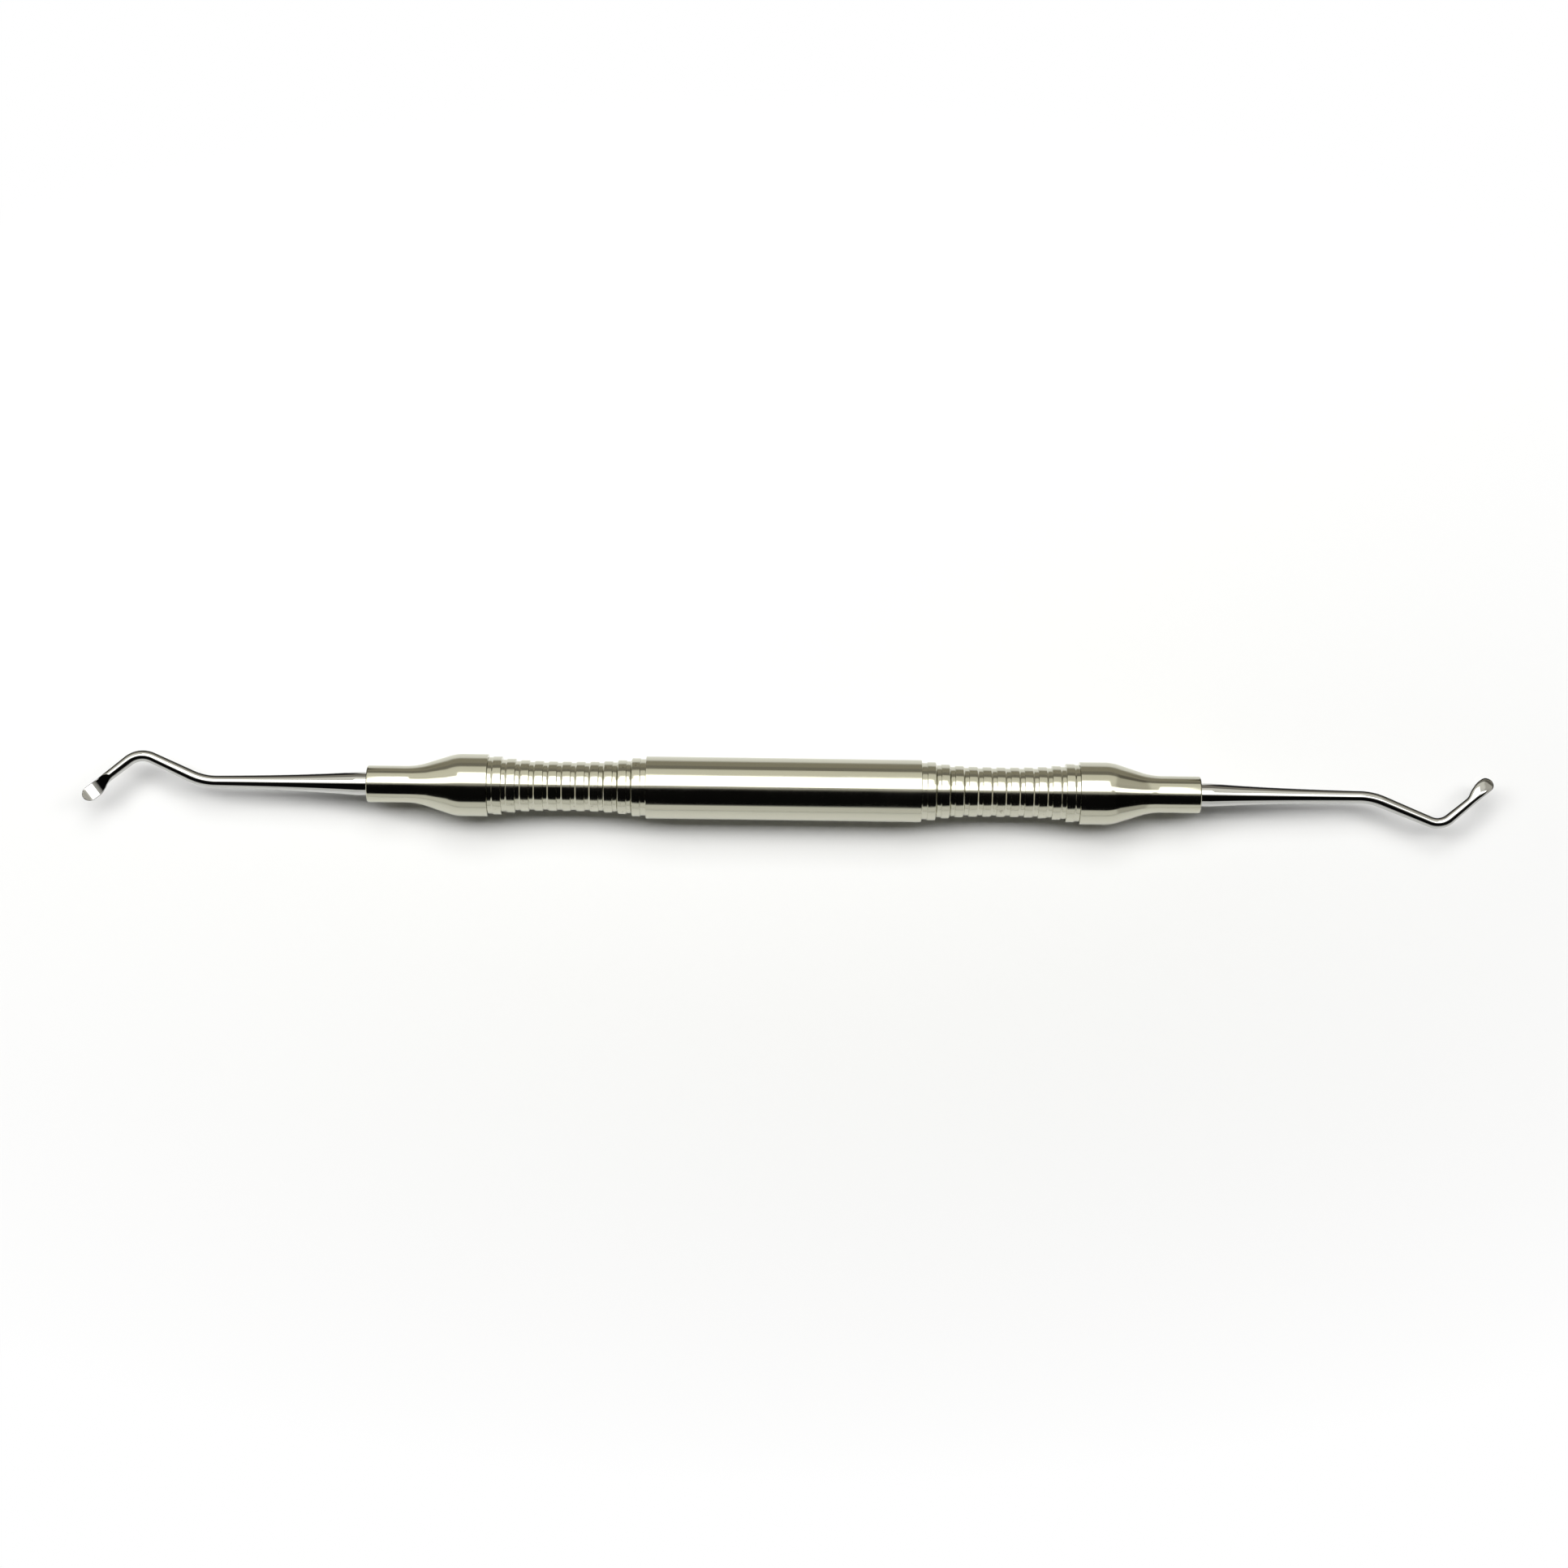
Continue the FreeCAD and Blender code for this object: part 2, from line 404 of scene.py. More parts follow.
class Swept:
    """A skin pulled out ring by ring in edit mode, in millimetres."""

    def __init__(self, name: str, x: float, radius: float, sides: int) -> None:
        """Starts with one ring of vertices about the X axis.

        Args:
            name: The object's name.
            x: The ring's place on the X axis.
            radius: The ring's radius.
            sides: How many vertices the ring has.
        """
        bpy.ops.object.select_all(action="DESELECT")
        bpy.ops.mesh.primitive_circle_add(
            vertices=sides,
            radius=radius * MM,
            location=(x * MM, 0, 0),
            rotation=(0, math.pi / 2, 0),
        )
        self.object = bpy.context.object
        self.object.name = name
        self.object.data.name = name
        bpy.ops.object.transform_apply(location=True, rotation=True, scale=True)
        bpy.ops.object.mode_set(mode="EDIT")
        bpy.ops.mesh.select_all(action="SELECT")
        self.sides = sides
        self.centre = Vector((x, 0, 0))
        self.radius = radius

    def pull(self, step: Vector, radius: float) -> None:
        """Extrudes the last ring and gives the new one its radius.

        Args:
            step: The way from the last ring's centre to the new one's.
            radius: The new ring's radius.
        """
        bpy.ops.mesh.extrude_region_move(TRANSFORM_OT_translate={"value": step * MM})
        self.centre = self.centre + step
        ratio = radius / self.radius
        bpy.ops.transform.resize(value=(ratio, ratio, ratio), center_override=self.centre * MM)
        self.radius = radius

    def turn(self, outline: Outline) -> None:
        """Follows an outline of (x, radius) points along the X axis."""
        for x, radius in outline:
            self.pull(Vector((x - self.centre.x, 0, 0)), radius)

    def bend(self, heading: float, angle: float, bend_radius: float, steps: int) -> None:
        """Spins the last ring round a bend in the XY plane.

        Args:
            heading: Direction of travel before the bend, in degrees from +X.
            angle: Turn in degrees, positive to the left.
            bend_radius: Radius of the bend's centreline.
            steps: How many rings the bend has.
        """
        side = math.copysign(1, angle)
        hub = self.centre + polar(heading + 90 * side, bend_radius)
        bpy.ops.mesh.spin(
            steps=steps, dupli=False, angle=-math.radians(angle), center=hub * MM, axis=(0, 0, 1)
        )
        self.centre = hub + polar(heading + angle - 90 * side, bend_radius)

    def cap(self) -> None:
        """Fills the first ring. One face stays there, and one rides on to close the last ring."""
        bpy.ops.mesh.edge_face_add()

    def close_loop(self) -> None:
        """Bridges the last ring to the first, which closes a tube with a wall."""
        mesh = bmesh.from_edit_mesh(self.object.data)
        mesh.verts.ensure_lookup_table()
        for vertex in mesh.verts[: self.sides]:
            vertex.select = True
        mesh.select_flush_mode()
        mesh.select_flush(True)
        bmesh.update_edit_mesh(self.object.data)
        bpy.ops.mesh.bridge_edge_loops()

    def break_edges(self, sharpness: float, width: float) -> None:
        """Takes the burr off the sharp edges with a small bevel.

        Args:
            sharpness: Least angle between faces, in degrees.
            width: The bevel's width.
        """
        bpy.ops.mesh.select_all(action="DESELECT")
        bpy.ops.mesh.edges_select_sharp(sharpness=math.radians(sharpness))
        bpy.ops.mesh.bevel(
            offset=width * MM, segments=2, profile=0.5, affect="EDGES", clamp_overlap=True
        )
        # Where two bevels meet they leave doubled vertices.
        bpy.ops.mesh.select_all(action="SELECT")
        bpy.ops.mesh.remove_doubles(threshold=MERGE_REACH * MM)

    def finish(self, smooth_angle: float) -> bpy.types.Object:
        """Turns the normals outwards and leaves edit mode.

        Args:
            smooth_angle: Faces that meet at less than this, in degrees, are shaded as one.

        Returns:
            The finished object.
        """
        bpy.ops.mesh.select_all(action="SELECT")
        bpy.ops.mesh.normals_make_consistent(inside=False)
        bpy.ops.object.mode_set(mode="OBJECT")
        bpy.ops.object.shade_smooth_by_angle(angle=math.radians(smooth_angle))
        return self.object


def settle(
    piece: bpy.types.Object, node: str, material: bpy.types.Material
) -> None:
    """Dresses a finished piece and ties it to the frame.

    Args:
        piece: The piece, at its place.
        node: The CAD node that it stands for.
        material: Its material.
    """
    piece.data.materials.append(material)
    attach(piece, "root")
    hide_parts(node)
    LOG.info("%s: %d faces, stands for %s", piece.name, len(piece.data.polygons), node)


# ---------------------------------------------------------------------------- handle


@dataclass
class Handle:
    """The hollow tube: plain barrel with a waisted, grooved grip on each side. Millimetres."""

    radius: float = 4.0
    barrel: float = 35.2
    bore: float = 2.3
    grip: float = 20.2
    grooves: int = 12
    groove: float = 0.72
    slant: float = 0.18
    waist: float = 3.18
    land_rise: float = 0.56
    depth: float = 0.15
    depth_rise: float = 0.10
    edge: float = 0.06
    sharp_from: float = 25.0
    smooth_below: float = 20.0
    sides: int = 96

    def grip_outline(self) -> Outline:
        """Outline of one grip.

        Returns:
            Points as (distance from the barrel, radius), from the barrel to the shoulder.
        """
        lands = self.grooves - 1
        land = (self.grip - self.grooves * self.groove) / lands
        pitch = self.groove + land
        points: Outline = []
        for i in range(self.grooves):
            u = (2 * i / lands - 1) * self.grooves / lands
            floor = self.waist + self.land_rise * abs(u) ** 3 - self.depth - self.depth_rise * u**2
            points.append((i * pitch + (self.slant if i else 0), floor))
            points.append((i * pitch + self.groove, floor))
            if i < lands:
                top = self.waist + self.land_rise * abs(2 * i / (lands - 1) - 1) ** 3
                points.append((i * pitch + self.groove, top))
                points.append(((i + 1) * pitch, top))
        return points

    def build(self, material: bpy.types.Material) -> None:
        """Turns the tube and dresses it.

        Args:
            material: The handle's steel.
        """
        half = self.barrel / 2
        end = half + self.grip
        right = [(half, self.radius)] + [(half + x, r) for x, r in self.grip_outline()]
        left = [(-x, r) for x, r in reversed(right)]
        tube = Swept("grip_handle", -end, self.bore, self.sides)
        tube.turn(left + right + [(end, self.bore)])
        tube.close_loop()
        tube.break_edges(sharpness=self.sharp_from, width=self.edge)
        piece = tube.finish(smooth_angle=self.smooth_below)
        settle(piece, "handle_tube", material)


@dataclass
class NoseCone:
    """A cone pressed into the tube, from shoulder to S-shaped flank and slim nose. Millimetres."""

    side: Side
    tube_half: float = 37.8
    length: float = 15.5
    spigot: float = 6.0
    spigot_r: float = 2.3
    bore: float = 1.5
    shoulder_r: float = 4.0
    shoulder: float = 3.2
    slope: float = 18.0
    convex_r: float = 6.0
    concave_r: float = 9.0
    nose_r: float = 2.36
    lip: float = 0.2
    mouth: float = 0.15
    edge: float = 0.04
    sharp_from: float = 60.0
    smooth_below: float = 20.0
    convex_chords: int = 14
    concave_chords: int = 18
    lip_chords: int = 6
    sides: int = 96

    def outline(self) -> Outline:
        """Outline of the cone from its spigot to its bore.

        Returns:
            Points as (x, radius), for the +X end.
        """
        slope = math.radians(self.slope)
        rise, run = 1 - math.cos(slope), math.sin(slope)
        drop = self.shoulder_r - self.nose_r
        flank = (drop - (self.convex_r + self.concave_r) * rise) / run
        start = self.tube_half + self.shoulder
        tip = self.tube_half + self.length
        convex = arc_points(
            (start, self.shoulder_r - self.convex_r),
            self.convex_r,
            90,
            90 - self.slope,
            self.convex_chords,
        )
        foot_x = convex[-1][0] + flank * math.cos(slope)
        foot_r = convex[-1][1] - flank * run
        hub = (foot_x + self.concave_r * run, foot_r + self.concave_r * math.cos(slope))
        concave = arc_points(hub, self.concave_r, 270 - self.slope, 270, self.concave_chords)
        lip = arc_points(
            (tip - self.lip, self.nose_r - self.lip), self.lip, 90, 0, self.lip_chords
        )
        inside = self.tube_half - self.spigot
        spigot = [
            (inside, self.spigot_r),
            (self.tube_half, self.spigot_r),
            (self.tube_half, self.shoulder_r),
        ]
        return (
            spigot
            + convex
            + concave
            + lip
            + [(tip, self.bore + self.mouth), (tip - self.mouth, self.bore)]
        )

    def build(self, material: bpy.types.Material) -> None:
        """Turns the cone, mirrors it if it is the left one, and dresses it.

        Args:
            material: The handle's steel.
        """
        way = 1 if self.side is Side.RIGHT else -1
        points = [(way * x, r) for x, r in self.outline()]
        cone = Swept(f"cone_{self.side.value}", points[0][0], self.bore, self.sides)
        cone.turn(points)
        cone.close_loop()
        cone.break_edges(sharpness=self.sharp_from, width=self.edge)
        piece = cone.finish(smooth_angle=self.smooth_below)
        settle(piece, f"nose_cone_{self.side.value}", material)


# ---------------------------------------------------------------------------- working ends


@dataclass
class Spoon:
    """The blade in its own frame: +X to the toe, +Y its outer side, +Z out of the bowl.

    Lengths are in millimetres.
    """

    neck_r: float
    width: float = 1.92
    inset: float = 0.03
    lip_r: float = 0.5
    lip_slope: float = 30.0
    bowl_r: float = 3.75
    toe_slope: float = 38.0
    toe_thickness: float = 0.3
    back_straight: float = 1.6
    flare_start: float = 0.15
    flare_end: float = 2.7
    root_blend: float = 1.5
    back_power: float = 0.72
    rim: float = 0.07
    rim_depth: float = 0.19
    lip_step: float = 0.03
    lip_rings: int = 8
    body_rings: int = 34

    @property
    def reach(self) -> float:
        """Distance from the neck to the toe."""
        lip, toe = math.radians(self.lip_slope), math.radians(self.toe_slope)
        return self.lip_r * math.sin(lip) + self.bowl_r * (math.sin(lip) + math.sin(toe))

    @property
    def toe_start(self) -> float:
        """Where the sides turn into the round toe."""
        return self.reach - self.width / 2

    def stations(self) -> list[float]:
        """Places the blade's rings, closer together at the lip and round the toe.

        Returns:
            Distances from the neck, in order.
        """
        lip = [self.lip_step * i for i in range(1, self.lip_rings + 1)]
        run = self.toe_start - lip[-1]
        body = self.body_rings
        straight = [lip[-1] + run * i / body for i in range(1, body + 1)]
        toe_angles = [math.radians(degrees) for degrees in range(5, 90, 4)]
        toe = [self.toe_start + self.width / 2 * math.sin(angle) for angle in toe_angles]
        return lip + straight + toe

    def sides_at(self, x: float) -> tuple[float, float]:
        """Finds the outer and inner edges of the face.

        Args:
            x: The station.

        Returns:
            The two edges as Y.
        """
        outer = self.neck_r - self.inset
        inner = outer - self.width
        if x > self.toe_start:
            middle = (outer + inner) / 2
            half = math.sqrt(max(0.0, (self.width / 2) ** 2 - (x - self.toe_start) ** 2))
            return middle + half, middle - half
        flare = smooth((x - self.flare_start) / (self.flare_end - self.flare_start))
        return outer, -outer + (inner + outer) * flare

    def bowl_at(self, x: float) -> float:
        """Finds the height of the hollow-ground face.

        Args:
            x: The station.

        Returns:
            The height as Z.
        """
        lip = math.radians(self.lip_slope)
        if x < self.lip_r * math.sin(lip):
            return self.neck_r - self.lip_r + math.sqrt(self.lip_r**2 - x**2)
        reach = (self.lip_r + self.bowl_r) * math.sin(lip)
        height = self.neck_r - self.lip_r + (self.lip_r + self.bowl_r) * math.cos(lip)
        return height - math.sqrt(max(0.0, self.bowl_r**2 - (x - reach) ** 2))

    def back_at(self, x: float) -> float:
        """Finds the height of the rounded back.

        Args:
            x: The station.

        Returns:
            The height as Z.
        """
        if x <= self.back_straight:
            return -self.neck_r
        run = self.reach - self.back_straight
        rise = self.bowl_at(self.reach) - self.toe_thickness + self.neck_r
        radius = (run**2 + rise**2) / (2 * rise)
        return -self.neck_r + radius - math.sqrt(radius**2 - (x - self.back_straight) ** 2)

    def rim_drop(self, x: float, y: float, side: float) -> float:
        """How far the honed, steeply chamfered rim lies below the face.

        Args:
            x: The station.
            y: Place across the face.
            side: Distance from the nearer side edge.

        Returns:
            The drop, 0 away from the rim.
        """
        inset = side
        if x > self.toe_start:
            centre = self.neck_r - self.inset - self.width / 2
            inset = max(0.0, self.width / 2 - math.hypot(x - self.toe_start, y - centre))
        return self.rim_depth * max(0.0, 1 - inset / self.rim)

    def point(self, x: float, angle: float) -> Vector:
        """A point of the blade's skin.

        Args:
            x: The station.
            angle: Angle round the ring in radians, from +Y over the bowl.

        Returns:
            The point in the blade's frame.
        """
        outer, inner = self.sides_at(x)
        face, back = self.bowl_at(x), self.back_at(x)
        middle, half = (outer + inner) / 2, (outer - inner) / 2
        c, s = math.cos(angle), math.sin(angle)
        round_y, round_z = self.neck_r * c, min(self.neck_r * s, face)
        if s >= 0:
            flat_y = middle + half * c
            flat_z = face - self.rim_drop(x, flat_y, half * (1 - abs(c)))
        else:
            flat_y = middle + half * math.copysign(abs(c) ** self.back_power, c)
            flat_z = face - (face - back) * abs(s) ** self.back_power
        blend = smooth(x / self.root_blend)
        y = round_y + (flat_y - round_y) * blend
        return Vector((x, y, round_z + (flat_z - round_z) * blend))


@dataclass
class WorkingEnd:
    """A one-piece shank with two bends and a spoon, measured from the nose face. Millimetres."""

    side: Side
    first_corner: float
    second_leg: float
    second_angle: float
    third_leg: float
    third_angle: float
    second_bend_r: float
    shank_r: float
    apex_r: float
    neck_r: float
    roll: float
    flare: tuple[float, float] = (0.15, 2.7)
    nose: float = 53.3
    tang: float = 13.0
    tang_r: float = 1.5
    collar: float = 1.3
    pull_x: float = 9.0
    pull_r: float = 0.95
    first_bend_r: float = 8.0
    taper_rings: int = 30
    first_bend_rings: int = 12
    leg_rings: int = 4
    second_bend_rings: int = 20
    smooth_below: float = 35.0
    sides: int = 64

    def taper(self, reach: float, steps: int) -> Outline:
        """Outline of the tapering shank, from the collar to the first bend.

        Args:
            reach: Where the taper ends.
            steps: How many chords it has.

        Returns:
            Points as (x, radius).
        """
        poles = [(self.collar, self.tang_r), (self.pull_x, self.pull_r), (reach, self.shank_r)]
        points: Outline = []
        for i in range(1, steps + 1):
            t = i / steps
            weights = ((1 - t) ** 2, 2 * t * (1 - t), t * t)
            points.append(
                (
                    sum(w * p[0] for w, p in zip(weights, poles)),
                    sum(w * p[1] for w, p in zip(weights, poles)),
                )
            )
        return points

    def straight(self, shank: Swept, end: Vector, radius: float, steps: int) -> None:
        """Pulls a straight, tapering leg.

        Args:
            shank: The skin being pulled.
            end: Centre of the leg's last ring.
            radius: Radius of the leg's last ring.
            steps: How many rings it has.
        """
        start, first = shank.centre.copy(), shank.radius
        for i in range(1, steps + 1):
            spot = start.lerp(end, i / steps)
            shank.pull(spot - shank.centre, first + (radius - first) * i / steps)

    def shape_spoon(self, shank: Swept, spoon: Spoon, heading: float) -> None:
        """Extrudes the neck ring through the blade's stations and moves each ring onto the blade.

        Args:
            shank: The skin, with the neck ring selected.
            spoon: The blade's sizes.
            heading: The blade's direction in degrees from +X.
        """
        place = (
            Matrix.Translation(shank.centre)
            @ Matrix.Rotation(math.radians(heading), 4, "Z")
            @ Matrix.Rotation(math.radians(-self.roll), 4, "X")
        )
        back = place.inverted()
        angles: dict[int, float] = {}
        mesh = bmesh.from_edit_mesh(shank.object.data)
        for vertex in mesh.verts:
            if vertex.select:
                local = back @ (vertex.co / MM)
                angles[vertex.index] = math.atan2(local.z, local.y)
        for station in spoon.stations():
            bpy.ops.mesh.extrude_region_move(TRANSFORM_OT_translate={"value": (0, 0, 0)})
            mesh = bmesh.from_edit_mesh(shank.object.data)
            mesh.verts.index_update()
            ring = [v for v in mesh.verts if v.select]
            for vertex in ring:
                beside = [edge.other_vert(vertex) for edge in vertex.link_edges]
                parent = next(other for other in beside if not other.select)
                angles[vertex.index] = angles[parent.index]
                vertex.co = (place @ spoon.point(station, angles[vertex.index])) * MM
            bmesh.update_edit_mesh(shank.object.data)

    def build(self, material: bpy.types.Material) -> None:
        """Pulls the shank and spoon, moves them to their end of the handle and dresses them.

        Args:
            material: The working ends' steel.
        """
        spoon = Spoon(neck_r=self.neck_r, flare_start=self.flare[0], flare_end=self.flare[1])
        turn = self.second_angle + self.third_angle
        first_tangent = self.first_bend_r * math.tan(math.radians(self.second_angle / 2))
        second_tangent = self.second_bend_r * math.tan(math.radians(turn / 2))
        corner_one = Vector((self.first_corner, 0, 0))
        corner_two = corner_one + polar(self.second_angle, self.second_leg)
        neck = corner_two + polar(-self.third_angle, self.third_leg - spoon.reach)

        shank = Swept(f"spoon_{self.side.value}", -self.tang, self.tang_r, self.sides)
        shank.cap()
        tapered = self.taper(self.first_corner - first_tangent, self.taper_rings)
        shank.turn([(self.collar, self.tang_r)] + tapered)
        shank.bend(0, self.second_angle, self.first_bend_r, self.first_bend_rings)
        apex = corner_two - polar(self.second_angle, second_tangent)
        self.straight(shank, apex, self.apex_r, self.leg_rings)
        shank.bend(self.second_angle, -turn, self.second_bend_r, self.second_bend_rings)
        self.straight(shank, neck, self.neck_r, self.leg_rings)
        self.shape_spoon(shank, spoon, -self.third_angle)
        piece = shank.finish(smooth_angle=self.smooth_below)

        if self.side is Side.LEFT:
            piece.location.x = -self.nose * MM
            piece.scale.x = -1
        else:
            piece.location.x = self.nose * MM
            piece.rotation_euler.x = math.pi
        bpy.ops.object.transform_apply(location=True, rotation=True, scale=True)
        bpy.ops.object.mode_set(mode="EDIT")
        bpy.ops.mesh.select_all(action="SELECT")
        bpy.ops.mesh.normals_make_consistent(inside=False)
        bpy.ops.object.mode_set(mode="OBJECT")
        settle(piece, f"working_end_{self.side.value}", material)


# ---------------------------------------------------------------------------- studio


@dataclass(frozen=True)
class Window:
    """A soft window overhead: its X limits in millimetres and its lean towards +Y in degrees."""

    name: str
    x_from: float
    x_to: float
    near: float
    far: float


@dataclass
class Studio:
    """White table, soft windows behind the object and an overhead camera.

    Lengths are in millimetres and angles in degrees. object_line is the object's middle line as
    (x, y). The pairs of values are where a change starts and where it ends. A row of room is the
    lean towards +Y of a direction seen from the object, and its linear red, green and blue.
    """

    floor_z: float = -4.0
    floor_half: float = 3000.0
    camera_at: tuple[float, float, float] = (0.02, 0.69, 430.0)
    camera_turn: float = 0.775
    lens: float = 77.1
    window_height: float = 600.0
    window_light: float = 2.2
    table_light: float = 4.4
    windows: tuple[Window, ...] = (
        Window("window_main", -240, 225, 8.0, 48.0),
        Window("window_right", 330, 680, 8.0, 27.0),
        Window("window_right_low", 225, 330, 13.0, 27.0),
        Window("window_left", -680, -240, 8.0, 34.0),
    )
    fill: float = 0.03
    table_white: str = "#F4F4F2"
    # Painted reflection: dark tones that the metal sees on the table behind the object, darkest by
    # the shanks.
    painted_reflection_by_handle: str = "#A39E90"
    painted_reflection_by_shanks: str = "#2E2C2D"
    painted_reflection_starts: tuple[float, float] = (0.5, 1.2)
    painted_reflection_flatness: tuple[float, float] = (0.42, 0.60)
    painted_reflection_sooner_by_shanks: float = 0.38
    handle_ends: tuple[float, float] = (55.0, 57.0)
    shank_dim_ends: tuple[float, float] = (20.0, 30.0)
    fade: tuple[float, float] = (30.0, 90.0)
    fade_stretch: float = 0.5
    room: tuple[tuple[float, float, float, float], ...] = (
        (-92, 0.82, 0.82, 0.79),
        (-67, 0.80, 0.80, 0.76),
        (-64, 0.004, 0.004, 0.004),
        (-4, 0.004, 0.004, 0.004),
        (-1, 0.30, 0.29, 0.27),
        (9, 0.72, 0.71, 0.66),
        (48, 1.00, 0.98, 0.88),
        (72, 0.94, 0.92, 0.81),
        (75, 0.26, 0.245, 0.21),
        (95, 0.26, 0.245, 0.21),
    )
    right_wall: Colour = (0.66, 0.65, 0.64, 1)
    right_wall_from: tuple[float, float] = (0.42, 0.50)
    end_wall: Colour = (0.62, 0.59, 0.51, 1)
    end_wall_from: tuple[float, float] = (0.80, 0.90)
    line_half_x: float = 95.0
    line_half_y: float = 10.0
    object_line: tuple[tuple[float, float], ...] = (
        (-89.0, -7.0),
        (-88.0, -0.7),
        (-82.5, 3.7),
        (-74.4, 0.0),
        (-56.0, 0.0),
        (-54.0, 3.0),
        (54.0, 3.0),
        (56.0, 0.0),
        (75.2, 0.0),
        (84.2, -3.6),
        (90.9, 2.1),
        (91.5, -4.0),
    )

    def make_floor(self) -> None:
        """Lays a plain white table under the object."""
        bpy.ops.object.select_all(action="DESELECT")
        bpy.ops.mesh.primitive_plane_add(
            size=2 * self.floor_half * MM, location=(0, 0, self.floor_z * MM)
        )
        table = bpy.context.object
        table.name = "table"
        bpy.ops.object.transform_apply(location=True, rotation=True, scale=True)
        table.data.materials.append(self.make_table_and_painted_reflection())

    def make_table_and_painted_reflection(self) -> bpy.types.Material:
        """Builds the table's matt white acrylic.

        Behind the object, at flat angles, the metal sees a painted dark reflection: glossy rays get
        a dark emission there in place of the table. Away from the object it runs out into an even
        white.

        Returns:
            The material.
        """
        material = bpy.data.materials.new("table_acrylic_matt_white")
        material.use_nodes = True
        tree = material.node_tree
        tree.nodes.clear()
        white = add_node(
            tree,
            "ShaderNodeBsdfPrincipled",
            Base_Color=linear(self.table_white),
            Roughness=0.9,
            Specular_IOR_Level=0.1,
        )
        position = add_node(tree, "ShaderNodeNewGeometry").outputs["Position"]
        rays = add_node(tree, "ShaderNodeLightPath")
        # The white table, with a painted dark reflection that only the metal sees.
        with_painted_reflection = self._paint_dark_reflection(tree, position, white.outputs[0], rays)
        stretched = add_node(
            tree, "ShaderNodeMapping", Vector=position, Scale=(self.fade_stretch, 1.0, 0.0)
        )
        distance = add_node(
            tree, "ShaderNodeVectorMath", {"operation": "LENGTH"}, in0=stretched.outputs[0]
        )
        far = add_node(
            tree,
            "ShaderNodeMapRange",
            Value=distance.outputs["Value"],
            From_Min=self.fade[0] * MM,
            From_Max=self.fade[1] * MM,
        )
        faded = add_node(
            tree,
            "ShaderNodeMath",
            {"operation": "MULTIPLY"},
            in0=far.outputs[0],
            in1=rays.outputs["Is Camera Ray"],
        )
        even = add_node(tree, "ShaderNodeEmission", Color=WHITE, Strength=1.0)
        whole = add_node(
            tree, "ShaderNodeMixShader", in0=faded.outputs[0], in1=with_painted_reflection, in2=even.outputs[0]
        )
        add_node(tree, "ShaderNodeOutputMaterial", Surface=whole.outputs[0])
        return material

    def _beyond_line(
        self, tree: bpy.types.NodeTree, spot: bpy.types.Node
    ) -> bpy.types.NodeSocket:
        """Measures how far behind the object's middle line a point of the table lies.

        Args:
            tree: The table's node tree.
            spot: The point, as separate X, Y and Z.

        Returns:
            The distance towards +Y in metres.
        """
        half_x, half_y = self.line_half_x, self.line_half_y
        place = add_node(
            tree,
            "ShaderNodeMapRange",
            Value=spot.outputs[0],
            From_Min=-half_x * MM,
            From_Max=half_x * MM,
        )
        stops = []
        for x, y in self.object_line:
            height = (y + half_y) / (2 * half_y)
            stops.append(((x + half_x) / (2 * half_x), (height, height, height, 1)))
        line = fill_ramp(add_node(tree, "ShaderNodeValToRGB", Fac=place.outputs[0]), stops)
        line_y = add_node(
            tree,
            "ShaderNodeMapRange",
            Value=line.outputs[0],
            To_Min=-half_y * MM,
            To_Max=half_y * MM,
        )
        return add_node(
            tree,
            "ShaderNodeMath",
            {"operation": "SUBTRACT"},
            in0=spot.outputs[1],
            in1=line_y.outputs[0],
        ).outputs[0]

    def _paint_dark_reflection(
        self,
        tree: bpy.types.NodeTree,
        position: bpy.types.NodeSocket,
        white: bpy.types.NodeSocket,
        rays: bpy.types.Node,
    ) -> bpy.types.NodeSocket:
        """Paints dark reflections into the metal: glossy rays see a dark emission on the table
        behind the object at flat angles.

        Args:
            tree: The table's node tree.
            position: The point of the table.
            white: The table's shader without the painted reflection.
            rays: The light path node.

        Returns:
            The mixed shader.
        """
        spot = add_node(tree, "ShaderNodeSeparateXYZ", Vector=position)
        beyond = self._beyond_line(tree, spot)
        behind = add_node(
            tree,
            "ShaderNodeMapRange",
            Value=beyond,
            From_Min=self.painted_reflection_starts[0] * MM,
            From_Max=self.painted_reflection_starts[1] * MM,
        )
        reach = add_node(tree, "ShaderNodeMath", {"operation": "ABSOLUTE"}, in0=spot.outputs[0])
        past_cones = add_node(
            tree,
            "ShaderNodeMapRange",
            Value=reach.outputs[0],
            From_Min=self.handle_ends[0] * MM,
            From_Max=self.handle_ends[1] * MM,
        )
        nearby = add_node(
            tree,
            "ShaderNodeMapRange",
            Value=beyond,
            From_Min=self.shank_dim_ends[0] * MM,
            From_Max=self.shank_dim_ends[1] * MM,
            To_Min=1.0,
            To_Max=0.0,
        )
        by_shanks = add_node(
            tree,
            "ShaderNodeMath",
            {"operation": "MULTIPLY"},
            in0=past_cones.outputs[0],
            in1=nearby.outputs[0],
        ).outputs[0]
        slack = add_node(
            tree,
            "ShaderNodeMath",
            {"operation": "MULTIPLY_ADD"},
            in0=by_shanks,
            in1=self.painted_reflection_sooner_by_shanks,
            in2=add_node(tree, "ShaderNodeLayerWeight", Blend=0.5).outputs["Facing"],
        )
        flat = add_node(
            tree,
            "ShaderNodeMapRange",
            Value=slack.outputs[0],
            From_Min=self.painted_reflection_flatness[0],
            From_Max=self.painted_reflection_flatness[1],
        )
        painted_reflection_tone = add_node(
            tree,
            "ShaderNodeMix",
            {"data_type": "RGBA"},
            in0=by_shanks,
            in6=linear(self.painted_reflection_by_handle),
            in7=linear(self.painted_reflection_by_shanks),
        )
